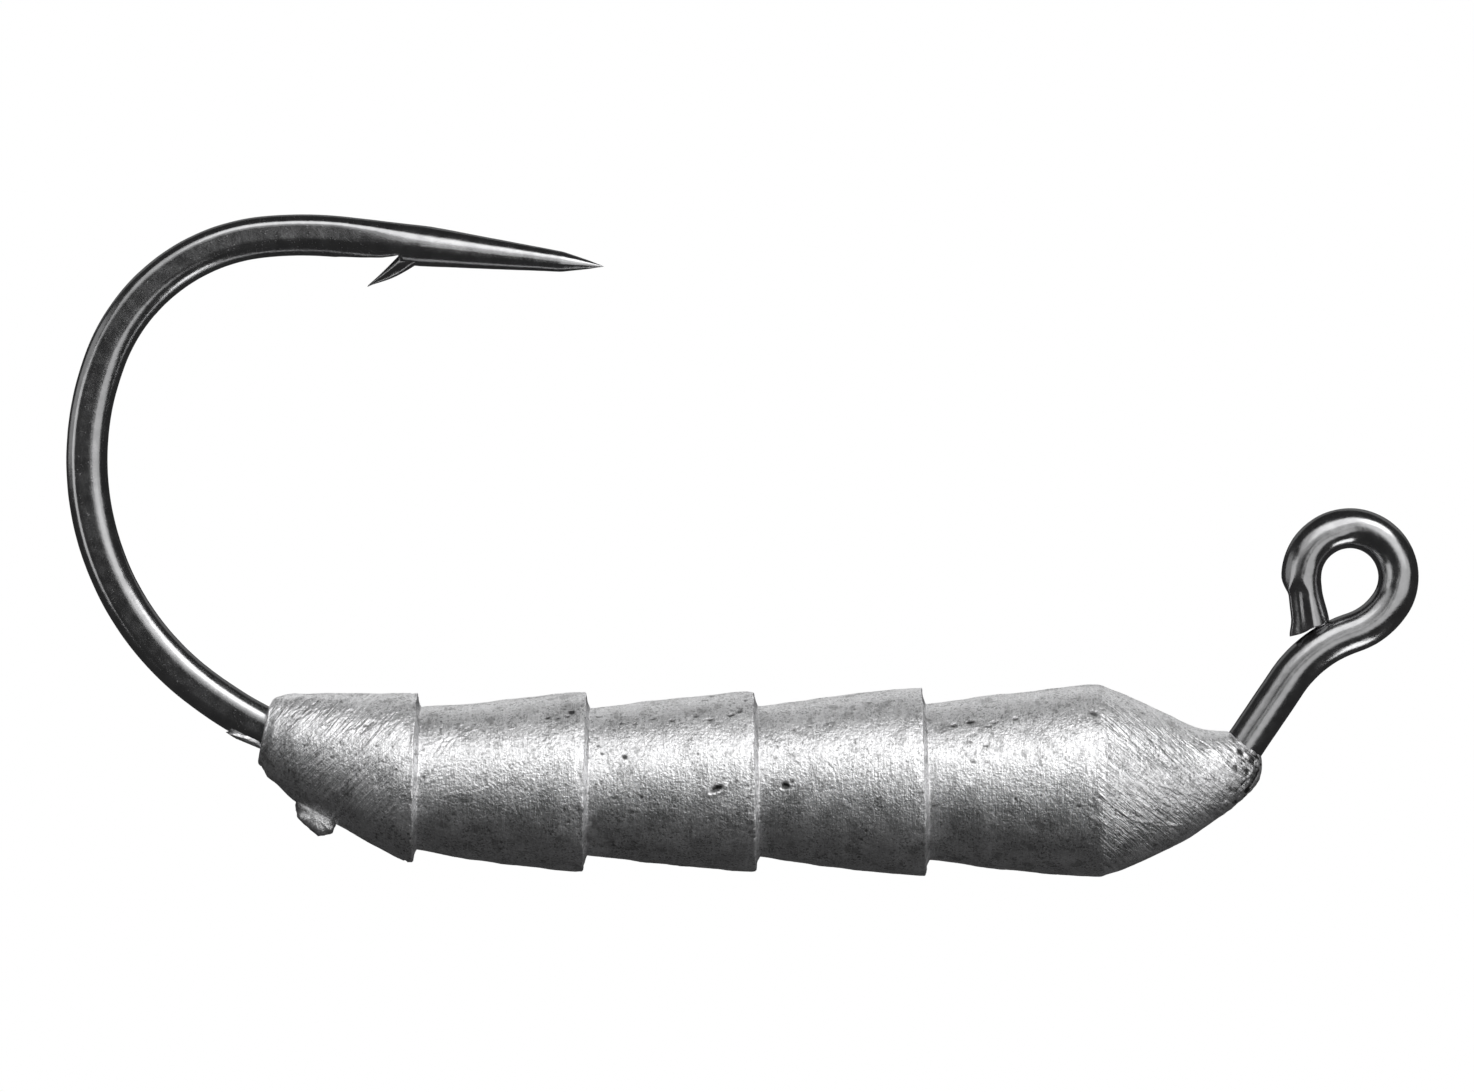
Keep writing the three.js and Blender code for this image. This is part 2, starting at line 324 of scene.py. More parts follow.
def forged_section(theta):
    """A unit section with flats front and back: u runs outwards, v towards the viewer."""
    turn = np.mod(theta, 2.0 * math.pi)
    front = np.where(turn <= math.pi, turn, 2.0 * math.pi - turn) / math.pi
    flat_from, flat_to = FLAT_SPAN
    outer = np.clip(front / flat_from, 0.0, 1.0) * math.pi / 2.0
    inner = np.clip((front - flat_to) / (1.0 - flat_to), 0.0, 1.0) * math.pi / 2.0
    between = np.clip((front - flat_from) / (flat_to - flat_from), 0.0, 1.0)
    u = np.where(front < flat_from, FLAT_OUTER + (1.0 - FLAT_OUTER) * np.cos(outer),
                 np.where(front > flat_to, FLAT_INNER - (1.0 + FLAT_INNER) * np.sin(inner),
                          FLAT_OUTER + (FLAT_INNER - FLAT_OUTER) * between))
    v = np.where(front < flat_from, np.sin(outer), np.where(front > flat_to, np.cos(inner), 1.0))
    thickness = FORGED_THICKNESS / 2.0 / FORGED_RADIUS
    return u, v * thickness * np.where(turn <= math.pi, 1.0, -1.0)


def eye_lean(distance):
    """How far the crest of the section leans outwards round the eye."""
    lean = np.zeros(len(distance))
    for rises, full, falls, gone, size in EYE_LEANS:
        lean += size * smoothstep(rises, full, distance) * (1.0 - smoothstep(falls, gone, distance))
    return lean


def hook_mesh():
    """The wire from the eye's cut end to the point; u is left of the heading, outside a bend."""
    distances, places, headings = wire_rows()
    theta = np.linspace(0.0, 2.0 * math.pi, WIRE_SIDES, endpoint=False)[None, :]
    radius = wire_radius(distances)[:, None]
    forged = forging(distances)[:, None]
    to_tip = (ROUTE["length"] - distances)[:, None]
    flat_u, flat_v = forged_section(theta)
    lean = eye_lean(distances)[:, None]
    round_v = np.sin(theta) * (1.0 + lean * np.cos(theta))
    u = radius * (np.cos(theta) * (1.0 - forged) + flat_u * forged)
    v = -radius * (round_v * (1.0 - forged) + flat_v * forged)         # -Y faces the viewer
    u, v, s = shape_eye_end(u, v, distances[:, None])
    u = cut_scoop(u, to_tip)
    x = places[:, 0:1] - u * np.sin(headings[:, None]) - s * np.cos(headings[:, None])
    z = places[:, 1:2] + u * np.cos(headings[:, None]) - s * np.sin(headings[:, None])
    rows = np.stack([x, np.broadcast_to(v, x.shape), z], axis=-1)
    rows = roughen_wire(rows, places, distances)
    return grid_mesh("hook_wire", rows, {"forged": np.broadcast_to(forged, x.shape)})


def shape_eye_end(u, v, distance):
    """The sheared, pinched end of the eye: pressed in outside, bulged inside, cut at a slant."""
    pinch = 1.0 - smoothstep(*PINCH_RANGE, distance)
    outside = EYE_WIRE_RADIUS - OUTER_PRESS * pinch
    u = np.where(u > outside, outside + PRESSED_SHARE * (u - outside), u)
    bulge = 1.0 - smoothstep(*BULGE_RANGE, distance)
    u = np.where(u < 0.0, u * (1.0 + INNER_BULGE * bulge), u)
    # A pressed flat on the viewer's side, with a shallow groove in it.
    height = -v * math.cos(FACE_TILT) + u * math.sin(FACE_TILT)
    over = np.maximum(height - (FACE_HEIGHT - FACE_PRESS * pinch), 0.0)
    groove = pinch * GROOVE_DEPTH * np.exp(-((u - GROOVE_PLACE) / GROOVE_WIDTH) ** 2) * (v < 0)
    v = v + FACE_CUT * over / math.cos(FACE_TILT) + groove
    flare = (1.0 - smoothstep(0.0, FLARE_LENGTH, distance)) * np.maximum(u, 0.0) * FLARE
    swing = SWING * (1.0 - smoothstep(0.0, SWING_LENGTH, distance))
    slant = SLANT_BASE + SLANT * (1.0 + u / EYE_WIRE_RADIUS) + RIPPLE * np.sin(RIPPLE_PITCH * u)
    return u + flare + swing, v, (1.0 - smoothstep(0.0, SLANT_LENGTH, distance)) * slant


def cut_scoop(u, to_tip):
    """The shallow scoop behind the barb, in the underside of the point."""
    return np.maximum(u, -np.interp(to_tip, *zip(*SCOOP), left=NO_SCOOP, right=NO_SCOOP))


def roughen_wire(rows, places, distances):
    """Drawing waves and small unevenness, fading out towards the point."""
    centre = np.stack([places[:, 0], np.zeros(len(places)), places[:, 1]], -1)[:, None, :]
    outward = rows - centre
    length = np.maximum(np.linalg.norm(outward, axis=-1, keepdims=True), 1e-6)
    amount = np.zeros(rows.shape[:2])
    for height, scale, octaves, seed in WIRE_WAVES:
        waves = layered(rows.reshape(-1, 3), scale, octaves, seed)
        amount += height * waves.reshape(amount.shape)
    fade = smoothstep(0.0, WAVES_FADE, ROUTE["length"] - distances)[:, None]
    return rows + outward / length * (amount * fade)[..., None]


def barb_edges(t):
    """The barb's upper and lower edge at a share t of its length: back from the tip, below."""
    root_top, root_low = (np.array([BARB_ROOT, low]) for low in (BARB_ROOT_TOP, BARB_ROOT_LOW))
    apex, tip = np.array(BARB_APEX), np.array(BARB_TIP)
    upper = root_top + (apex - root_top) * min(t / BARB_KNEE, 1.0)
    if t > BARB_KNEE:
        past = (t - BARB_KNEE) / (1.0 - BARB_KNEE)
        upper = apex + (tip - apex) * past
        upper = upper + np.array([0.0, BARB_ARCH]) * math.sin(math.pi * past)
    lower = root_low + (tip - root_low) * t
    belly = math.sin(math.pi * min(t * BELLY_REACH, 1.0)) ** BELLY_SHARPNESS
    return upper, lower + np.array([0.0, BARB_BELLY]) * belly


def squared(values):
    """Makes a round section a little squarer."""
    return np.sign(values) * np.abs(values) ** BARB_SQUARENESS


def barb_mesh():
    """A sliver raised from the underside of the point, thin and sharp at its tip."""
    x0, z0, heading = ROUTE["end"]
    cos, sin = math.cos(heading), math.sin(heading)
    angle = np.linspace(0.0, 2.0 * math.pi, BARB_SIDES, endpoint=False)
    across, upright = squared(np.sin(angle)), squared(np.cos(angle))
    narrowing = 1.0 - BARB_UNDERCUT * np.maximum(-upright, 0.0)
    rows = np.zeros((BARB_STEPS, BARB_SIDES, 3))
    for k, t in enumerate(np.linspace(0.0, 1.0, BARB_STEPS)):
        upper, lower = barb_edges(t)
        middle = (upper + lower) / 2.0
        half = (lower - upper) / 2.0 + np.array(BARB_TIP_SIZE) * t
        width = BARB_HALF_WIDTH * (1.0 - t) ** BARB_NARROWING + BARB_TIP_WIDTH
        back = middle[0] - upright * half[0]
        below = middle[1] - upright * half[1]
        rows[k, :, 0] = x0 - back * cos + below * sin
        rows[k, :, 1] = -across * width * narrowing
        rows[k, :, 2] = z0 - back * sin - below * cos
    return grid_mesh("barb", rows, {"forged": np.zeros(rows.shape[:2])})


# ---- the lead body ----

KEEPERS = (
    # shoulder's X, crest radius, how far the top of the shoulder leans towards the nose
    (-31.15, 2.81, 0.08), (-25.5, 2.965, 0.05), (-19.83, 2.98, -0.03), (-14.2, 3.12, -0.07),
)
NECKS = (2.36, 2.45, 2.5, 2.585)
NOSE_CREST = (-8.75, 3.19)
NOSE_CONE = ((-8.28, 3.175), (-8.12, 3.11), (-7.13, 2.73), (-6.27, 2.335), (-5.73, 2.06),
             (-5.2, 1.79), (-4.67, 1.57), (-4.2, 1.38))
NOSE_RISE = 0.56       # how far the nose's tip is lifted
NOSE_RISE_LENGTH = 1.4
CREST_RISE, CREST_SPREAD = 0.045, 0.9
BLUNTNESS = 2.4        # of the nose's tip
FLARE_POWER = 1.18     # how a barrel swells from its neck to its crest
LEAD_STEP = 0.045
EDGE_RADIUS = 0.1      # of the tail's end face
CORNER_RADIUS = 0.05   # of a shoulder
FILLET, FILLET_POWER = 0.13, 2.2       # at the foot of a shoulder
RUN_IN = (-0.28, -0.055)       # the straight run before a shoulder, from the shoulder
RUN_IN_SLOPES = (0.2, 0.0, 0.0, 0.0)
CLEARANCE = 0.3        # between a barrel's stations and the next run
TAIL_LEAN = 0.24       # the tail's end face leans: its top is this far towards the nose
TAIL_SWELL = ((-36.16, 1.19), (-36.08, 1.26), (-35.86, 1.39), (-35.62, 1.49), (-35.38, 1.62),
              (-35.15, 1.74), (-34.38, 2.0), (-33.47, 2.25), (-32.6, 2.50), (-32.07, 2.63),
              (-31.43, 2.78))
TAIL_TOP = ((-36.3, 0.95), (-36.05, 0.52), (-35.95, 0.34), (-35.88, 0.22), (-35.78, 0.13),
            (-35.5, 0.05), (-35.2, 0.0))     # X, how far the top corner is rounded down
TAIL_TOP_SHARE = 0.12  # the share of the height over the rounded corner that is left
TAIL_CENTRE_RADIUS = 1.18      # the least radius that places the tail's axis under the top line
SETTLE_LENGTH = 2.0    # how fast the axis settles behind the first shoulder
LEAN_REACH = 2.4       # how far the tail face's lean is felt
LEAN_NEAR = (-2.2, -0.1, 0.3, 2.4)     # where a shoulder's lean comes and goes, from the shoulder
TAIL_BRUSHED = (-32.6, -30.9)  # where the brushed marks of the tail end
CONE_BRUSHED = (-8.7, -8.1)    # where those of the nose cone start

# Marks in the lead: X, angle from the top round the viewer's side, half length, half width,
# tilt of the long axis from X (up towards the nose is positive), depth, height of the raised rim.
PITS = (
    (-21.13, 94.0, 0.26, 0.11, 24.0, 0.09, 0.024), (-24.17, 70.5, 0.16, 0.10, -30.0, 0.04, 0.002),
    (-24.3, 40.0, 0.14, 0.11, 10.0, 0.03, 0.000), (-23.85, 42.0, 0.12, 0.08, 0.0, 0.03, 0.000),
    (-23.2, 38.0, 0.17, 0.09, 15.0, 0.03, 0.000), (-22.6, 41.5, 0.14, 0.11, 0.0, 0.035, 0.001),
    (-21.8, 39.0, 0.17, 0.12, 0.0, 0.03, 0.000), (-21.3, 43.0, 0.13, 0.09, 20.0, 0.03, 0.000),
    (-20.6, 40.0, 0.17, 0.12, 0.0, 0.035, 0.001), (-20.3, 37.0, 0.12, 0.09, 0.0, 0.03, 0.000),
    (-26.75, 41.0, 0.20, 0.12, 20.0, 0.04, 0.001), (-26.4, 42.5, 0.12, 0.09, 0.0, 0.03, 0.000),
    (-25.95, 37.0, 0.17, 0.18, 0.0, 0.04, 0.001), (-26.1, 41.0, 0.12, 0.08, 0.0, 0.04, 0.001),
    (-18.85, 92.0, 0.19, 0.14, 0.0, 0.07, 0.003), (-18.6, 89.0, 0.10, 0.08, 0.0, 0.03, 0.000),
    (-13.2, 45.0, 0.14, 0.11, 0.0, 0.03, 0.000), (-12.7, 43.0, 0.20, 0.12, 0.0, 0.035, 0.001),
    (-11.9, 46.0, 0.12, 0.09, 0.0, 0.03, 0.000), (-11.2, 44.0, 0.13, 0.09, 0.0, 0.03, 0.000),
    (-8.6, 45.0, 0.30, 0.20, -20.0, 0.03, 0.001), (-19.7, 118.0, 0.17, 0.14, 0.0, 0.018, 0.001),
    (-23.9, 112.0, 0.23, 0.12, 0.0, 0.018, 0.001), (-29.8, 115.0, 0.17, 0.15, 0.0, 0.018, 0.002),
)
SCRATCHES = (
    (-30.35, 62.0, 0.95, 0.05, 62.0, 0.030, 0.018), (-30.1, 60.0, 0.85, 0.04, 60.0, 0.026, 0.016),
    (-29.85, 58.0, 0.75, 0.045, 57.0, 0.030, 0.018), (-29.5, 55.0, 0.55, 0.04, 52.0, 0.024, 0.014),
    (-27.8, 63.0, 0.40, 0.035, -28.0, 0.022, 0.014), (-18.75, 67.0, 0.42, 0.04, -44.0, 0.028, 0.018),
    (-18.45, 64.0, 0.30, 0.035, -40.0, 0.022, 0.014), (-17.3, 80.0, 0.42, 0.04, -58.0, 0.028, 0.018),
    (-9.4, 49.0, 0.24, 0.03, -80.0, 0.045, 0.008), (-32.25, 104.0, 0.46, 0.035, -60.0, 0.024, 0.018),
    (-32.9, 96.0, 0.25, 0.03, -55.0, 0.020, 0.012), (-24.0, 52.0, 0.34, 0.03, 30.0, 0.020, 0.012),
)
SCRAPED = (
    # X from and to, angle down from the top from and to, tilt, how many
    (-35.4, -31.5, 32.0, 72.0, 48.0, 44), (-8.0, -4.2, 35.0, 110.0, -42.0, 46),
    (-30.6, -26.5, 55.0, 100.0, 20.0, 9), (-8.4, -6.2, 100.0, 140.0, -30.0, 14),
)
SCRAPE_LENGTH, SCRAPE_WIDTH = (0.3, 0.8), (0.026, 0.044)
SCRAPE_TURN = (-8.0, 8.0)
SCRAPE_DEPTH, SCRAPE_RIM = (0.014, 0.030), (0.012, 0.028)

# The casting's skin: height in mm, cells per mm, octaves, seed.
SKIN = ((0.010, 0.5, 3, SEED + 20), (0.0030, 3.2, 3, SEED + 30), (0.0026, 9.0, 2, SEED + 40))
PINHOLE_DEPTH = 0.015
PINHOLE_DARK, MARK_DARK = 0.022, 0.035     # the depths that look fully dark
RIM_PLACE, RIM_WIDTH = 1.25, 0.28      # of a mark's raised rim, in half widths of the mark
SEAM_WIDTH, SEAM_HEIGHT, SEAM_VARIES = 0.06, 0.014, 0.020
NOSE_LUMPS = (-4.6, -3.4)      # X where the lumpy tip starts and is full
LUMP_HEIGHT, LUMP_DARK = 0.045, 1.4
FACE_LUMPS = (0.1, 0.9)        # from the tail's end, where its lumps are full and are gone
FACE_LUMP_HEIGHT = 0.03
NICK_PLACE, NICK_SPREAD, NICK_OUT, NICK_IN = -0.06, 0.09, 0.045, 0.030
BURR_SPREAD, BURR_SHIFT, BURR_FINE = 0.14, 0.024, 0.016


def tail_stations():
    """The tail's rounded end face and its swell up to the first shoulder."""
    start = TAIL_X + TAIL_LEAN
    angles = np.radians(np.linspace(2.0, 90.0, 14))
    first = TAIL_SWELL[0][1]
    yield (start + EDGE_RADIUS * (1.0 - np.cos(angles)),
           first - EDGE_RADIUS + EDGE_RADIUS * np.sin(angles))
    swell = np.array(((start + EDGE_RADIUS, first),) + TAIL_SWELL[1:])
    fine = np.arange(start + EDGE_RADIUS + 0.04, KEEPERS[0][0] - CLEARANCE, LEAD_STEP)
    yield fine, smooth_curve(swell[:, 0], swell[:, 1], fine)


def shoulder_stations(shoulder, crest, neck, slope):
    """A short run up to the crest, a rounded corner, and the drop to the neck with a fillet."""
    run = np.linspace(shoulder + RUN_IN[0], shoulder + RUN_IN[1], 6)
    yield run, crest + slope * (run - shoulder - RUN_IN[1])
    corner = np.radians(np.array([20.0, 45.0, 70.0, 90.0]))
    yield (shoulder - CORNER_RADIUS + CORNER_RADIUS * np.sin(corner),
           crest - CORNER_RADIUS * (1.0 - np.cos(corner)))
    drop = np.linspace(0.12, 1.0, 11)
    edge = crest - CORNER_RADIUS
    yield shoulder + FILLET * drop ** FILLET_POWER, edge - (edge - neck) * drop


def barrel_stations(start, end, neck, top):
    """The swelling barrel from one shoulder's neck to the next crest."""
    fine = np.arange(start + FILLET + 0.05, end - CLEARANCE, LEAD_STEP)
    t = (fine - start - FILLET) / (end - CLEARANCE - start - FILLET)
    yield fine, neck + (top - neck) * (1.0 - (1.0 - t) ** FLARE_POWER)


def nose_stations():
    """The nose cone and its blunt tip."""
    cone = np.array((NOSE_CREST,) + NOSE_CONE)
    end, radius = NOSE_CONE[-1]
    fine = np.arange(NOSE_CREST[0] + 0.05, end - 0.03, LEAD_STEP)
    yield fine, smooth_curve(cone[:, 0], cone[:, 1], fine)
    left = np.linspace(1.0, 0.02, 44)
    yield end + (NOSE_X - end) * (1.0 - left ** BLUNTNESS), radius * left


def barrel_profile():
    """Fine stations along the lead body: X, radius, centre height and shoulder lean."""
    runs = list(tail_stations())
    ends = [keeper[:2] for keeper in KEEPERS[1:]] + [(NOSE_CREST[0] + CLEARANCE, NOSE_CREST[1])]
    for (shoulder, crest, _), neck, slope, end in zip(KEEPERS, NECKS, RUN_IN_SLOPES, ends):
        runs += shoulder_stations(shoulder, crest, neck, slope)
        runs += barrel_stations(shoulder, end[0], neck, end[1])
    runs += nose_stations()
    x, radius = (np.concatenate(values) for values in zip(*runs))
    return x, radius, centre_height(x, radius), shoulder_lean(x)


def smooth_curve(xs, ys, at):
    """Smooth cubic interpolation through a few shape points."""
    slope = np.diff(ys) / np.diff(xs)
    m = np.concatenate([[slope[0]], (slope[1:] + slope[:-1]) / 2.0, [slope[-1]]])
    k = np.clip(np.searchsorted(xs, at) - 1, 0, len(xs) - 2)
    h = xs[k + 1] - xs[k]
    t = (at - xs[k]) / h
    return ((2 * t ** 3 - 3 * t ** 2 + 1) * ys[k] + (t ** 3 - 2 * t ** 2 + t) * h * m[k]
            + (-2 * t ** 3 + 3 * t ** 2) * ys[k + 1] + (t ** 3 - t ** 2) * h * m[k + 1])


def centre_height(x, radius):
    """The tail hangs under a level top line; the nose's tip is lifted."""
    tail_end = KEEPERS[0][0]
    top = TOP_LINE - AXIS_HEIGHT
    tail = top - np.maximum(radius, TAIL_CENTRE_RADIUS)
    settle = (top - KEEPERS[0][1]) * (1.0 - smoothstep(tail_end, tail_end + SETTLE_LENGTH, x))
    nose = NOSE_RISE * smoothstep(NOSE_CONE[-1][0] - NOSE_RISE_LENGTH, NOSE_X, x)
    nose += CREST_RISE * np.exp(-((x - NOSE_CREST[0]) / CREST_SPREAD) ** 2)
    return AXIS_HEIGHT + np.where(x < tail_end - 0.2, tail, settle + nose)


def shoulder_lean(x):
    """How far the top of the section leans towards the nose, near each shoulder."""
    lean = TAIL_LEAN * (1.0 - smoothstep(TAIL_X, TAIL_X + LEAN_REACH, x))
    for shoulder, _, top in KEEPERS:
        rises, full, falls, gone = (shoulder + offset for offset in LEAN_NEAR)
        lean += top * smoothstep(rises, full, x) * (1.0 - smoothstep(falls, gone, x))
    return lean


def lead_mesh():
    """The casting; theta runs round from the top, with the viewer's side at 90 degrees."""
    x, radius, height, lean = barrel_profile()
    theta = np.linspace(0.0, 2.0 * math.pi, LEAD_SIDES, endpoint=False)
    up, side = np.cos(theta)[None, :], -np.sin(theta)[None, :]
    r = radius[:, None]
    px = x[:, None] + lean[:, None] * up
    pz = height[:, None] + r * up
    corner = TOP_LINE - np.interp(px, *zip(*TAIL_TOP))
    above = (pz > corner) & (px < TAIL_TOP[-1][0])
    pz = np.where(above, corner + TAIL_TOP_SHARE * (pz - corner), pz)
    rows = np.stack([px, np.broadcast_to(r * side, px.shape), pz], axis=-1)
    rows, pitted = weather_lead(rows, x, radius, theta, up, side)
    tail = 1.0 - smoothstep(*TAIL_BRUSHED, x)[:, None]
    cone = smoothstep(*CONE_BRUSHED, x)[:, None]
    return grid_mesh("lead_casting", rows, {
        "pitted": pitted,
        "tail": np.broadcast_to(tail, px.shape),
        "cone": np.broadcast_to(cone, px.shape),
    })


def stamp(rows_x, radius, theta, marks, sharp, ragged):
    """Raise and lower the surface for a list of marks, each an ellipse with a raised rim.

    sharp is the share of a mark that its sloping side takes; ragged moves its outline.
    """
    amount = np.zeros((len(rows_x), len(theta)))
    for at, down, half_length, half_width, tilt, depth, rim in marks:
        near = np.abs(rows_x - at) < half_length + 0.3
        dx = (rows_x[near] - at)[:, None]
        arc = (math.radians(down) - theta)[None, :] * radius[near][:, None]
        cos, sin = math.cos(math.radians(tilt)), math.sin(math.radians(tilt))
        p = (dx * cos + arc * sin) / half_length
        q = (-dx * sin + arc * cos) / half_width
        far = np.sqrt(p * p + q * q) + ragged[near]
        amount[near] -= depth * (1.0 - smoothstep(1.0 - sharp, 1.0, far))
        amount[near] += rim * np.exp(-((far - RIM_PLACE) / RIM_WIDTH) ** 2)
    return amount


def random_scrapes():
    """Scrapes that rise towards the nose on the tail, and fall towards it on the nose cone."""
    rng = np.random.default_rng(SEED)
    marks = []
    for low, high, top, bottom, tilt, count in SCRAPED:
        for _ in range(count):
            marks.append((rng.uniform(low, high), rng.uniform(top, bottom),
                          rng.uniform(*SCRAPE_LENGTH), rng.uniform(*SCRAPE_WIDTH),
                          tilt + rng.uniform(*SCRAPE_TURN),
                          rng.uniform(*SCRAPE_DEPTH), rng.uniform(*SCRAPE_RIM)))
    return tuple(marks)


def cast_skin(points, shape):
    """The casting's undulation and grain, and its scattered pinholes."""
    amount = sum(height * layered(points, *rest) for height, *rest in SKIN)
    clusters = smoothstep(0.0, 0.5, noise(points, 0.8, SEED + 45))
    holes = smoothstep(0.58, 0.8, noise(points, 7.5, SEED + 50)) * PINHOLE_DEPTH * (0.1 + clusters)
    return (amount - holes).reshape(shape), holes.reshape(shape)


def parting_seam(points, radius, side):
    """The raised line that the mould's joint leaves along the top and the bottom."""
    seam = np.exp(-(np.abs(side) * radius[:, None] / SEAM_WIDTH) ** 2)
    along_x = points * np.array([1.0, 0.0, 0.0])
    height = SEAM_HEIGHT + SEAM_VARIES * noise(along_x, 1.7, SEED + 70)
    return seam * np.maximum(height.reshape(seam.shape), 0.0)


def nicked_crests(points, x, shape):
    """How far each crest is dented in or pushed out."""
    nick = layered(points, 2.4, 3, SEED + 100).reshape(shape)
    height = NICK_OUT * np.maximum(nick, 0.0) - NICK_IN * np.maximum(-nick, 0.0)
    return sum(np.exp(-((x - shoulder - NICK_PLACE) / NICK_SPREAD) ** 2)[:, None] * height
               for shoulder, _, _ in KEEPERS)


def burred_shoulders(points, x, shape):
    """How far each shoulder's face is pushed along X."""
    shift = (BURR_SHIFT * layered(points, 1.6, 3, SEED + 110)
             + BURR_FINE * layered(points, 6.0, 2, SEED + 120)).reshape(shape)
    return sum(np.exp(-((x - shoulder) / BURR_SPREAD) ** 2)[:, None] * shift
               for shoulder, _, _ in KEEPERS)


def weather_lead(rows, x, radius, theta, up, side):
    """Push the surface out and in for the skin, marks, seam, lumps and nicks of the casting.

    Returns the new rows, and how dark with dirt each place is, from 0 to 1.
    """
    shape = rows.shape[:2]
    points = rows.reshape(-1, 3)
    amount, holes = cast_skin(points, shape)
    ragged = 0.3 * layered(points, 6.0, 2, SEED + 55).reshape(shape)
    marks = stamp(x, radius, theta, PITS, 0.7, ragged)
    dark = holes / PINHOLE_DARK + np.maximum(-marks, 0.0) / MARK_DARK
    amount += marks
    amount += stamp(x, radius, theta, SCRATCHES + random_scrapes(), 0.9, 0.5 * ragged)
    amount += parting_seam(points, radius, side)
    nose = smoothstep(*NOSE_LUMPS, x)[:, None]
    lumps = layered(points, 5.2, 2, SEED + 80).reshape(shape)
    amount += nose * LUMP_HEIGHT * np.clip(lumps, -0.5, 0.9)
    dark += nose * LUMP_DARK * smoothstep(0.15, 0.6, -lumps)
    tail_face = 1.0 - smoothstep(TAIL_X + FACE_LUMPS[0], TAIL_X + FACE_LUMPS[1], x)[:, None]
    amount += tail_face * FACE_LUMP_HEIGHT * layered(points, 3.4, 2, SEED + 90).reshape(shape)
    amount += nicked_crests(points, x, shape)
    amount *= smoothstep(0.0, 0.4, radius)[:, None]
    moves = (burred_shoulders(points, x, shape), amount * side, amount * up)
    return rows + np.stack(moves, -1), np.minimum(dark, 1.0)


GATE_OUTLINE = ((-35.16, -6.9), (-35.14, -7.6), (-35.04, -8.05), (-34.78, -8.32), (-34.4, -8.64),
                (-34.2, -8.63), (-33.9, -8.54), (-33.8, -8.3), (-33.62, -6.9))
FLASH_OUTLINE = ((-37.48, -5.17), (-37.25, -5.3), (-37.0, -5.44), (-36.7, -5.58), (-36.4, -5.7),
                 (-36.1, -5.8), (-36.1, -5.36), (-36.35, -5.33), (-36.6, -5.23), (-36.9, -5.2),
                 (-37.2, -5.1))
GATE_HALF_DEPTH, GATE_ROUGHNESS = 0.5, 0.035
FLASH_HALF_DEPTH, FLASH_ROUGHNESS = 0.56, 0.02
SLAB_LAYERS, SLAB_EDGE_STEPS = 33, 8
SLAB_BULGE, SLAB_BEVEL, SLAB_TAPER, SLAB_CLOSED = 5, 0.35, 0.1, 0.02


def slab_mesh(name, outline, half_depth, roughness, seed):
    """A broken slab of lead: an outline in XZ, filled through Y, with rough, bevelled faces."""
    corners = np.array(outline)
    closed = np.vstack([corners, corners[:1]])
    steps = np.linspace(0.0, 1.0, SLAB_EDGE_STEPS + 1)[:-1]
    ring = np.concatenate([a + (b - a) * steps[:, None] for a, b in zip(closed[:-1], closed[1:])])
    middle = ring.mean(axis=0)
    rows = []
    for t in np.linspace(-1.0, 1.0, SLAB_LAYERS):
        shrink = (1.0 - abs(t) ** SLAB_BULGE) ** SLAB_BEVEL if abs(t) < 1.0 else 0.0
        shrink = SLAB_CLOSED + (1.0 - SLAB_CLOSED) * shrink * (1.0 - SLAB_TAPER * abs(t))
        layer = middle + (ring - middle) * shrink
        rows.append(np.stack([layer[:, 0], np.full(len(ring), t * half_depth), layer[:, 1]], -1))
    rows = np.array(rows)
    points = rows.reshape(-1, 3)
    for axis in range(3):
        chips = layered(points, 2.6, 3, seed + axis) + 0.4 * layered(points, 9.0, 2, seed + 7 + axis)
        rows[..., axis] += roughness * chips.reshape(rows.shape[:2])
    return grid_mesh(name, rows, {"pitted": np.zeros(rows.shape[:2])})


# ---- materials ----

# Reflectances, as grey levels.
LEAD_DULL, LEAD_CLEAN, LEAD_SCRAPED = 0.74, 0.88, 1.0
OXIDE_FLECK, OXIDE_SPECK, STAIN, DIRT = 0.28, 0.12, 0.3, 0.05
NICKEL_LOW, NICKEL_HIGH, NICKEL_DUST = 0.38, 0.45, 0.8

# Noises: cells per mm, detail, roughness and, for some, distortion.
MOTTLE = (1.1, 4.0, 0.6)
GRAIN = (11.0, 3.0, 0.6)
FINE_GRAIN = (14.0, 2.0, 0.6)
HATCH = (12.0, 3.0, 0.6, 0.3)
SPECKS = (7.5, 4.0, 0.7)
SPECK_CLUSTERS = (0.7, 3.0, 0.6)
FLECK_PATCHES = (1.3, 3.0, 0.6)
STAINS = (1.7, 4.0, 0.65)
LUMPY_SKIN = (7.0, 3.0, 0.65)
DUST = (11.0, 4.0, 0.75)
CLOUD = (2.2, 3.0, 0.6)
ORANGE_PEEL = (5.0, 2.0, 0.5)
SATIN = (30.0, 2.0, 0.6)
BRUSHED = (
    # attribute that says where, degrees up from X towards the nose, cells per mm
    ("tail", 48.0, 6.5), ("cone", -40.0, 8.0),
)
BRUSH_NOISE = (3.0, 0.6, 0.5)  # detail, roughness, distortion
DRAWN_OUT = (1.0, 0.12, 0.1)   # brushed lines are long in Z and Y once they are turned
HOOPED = (1.0, 0.12, 0.12)     # hatch marks run round the casting
MIX_A, MIX_B, MIX_RESULT = 6, 7, 2     # a Mix node's colour sockets


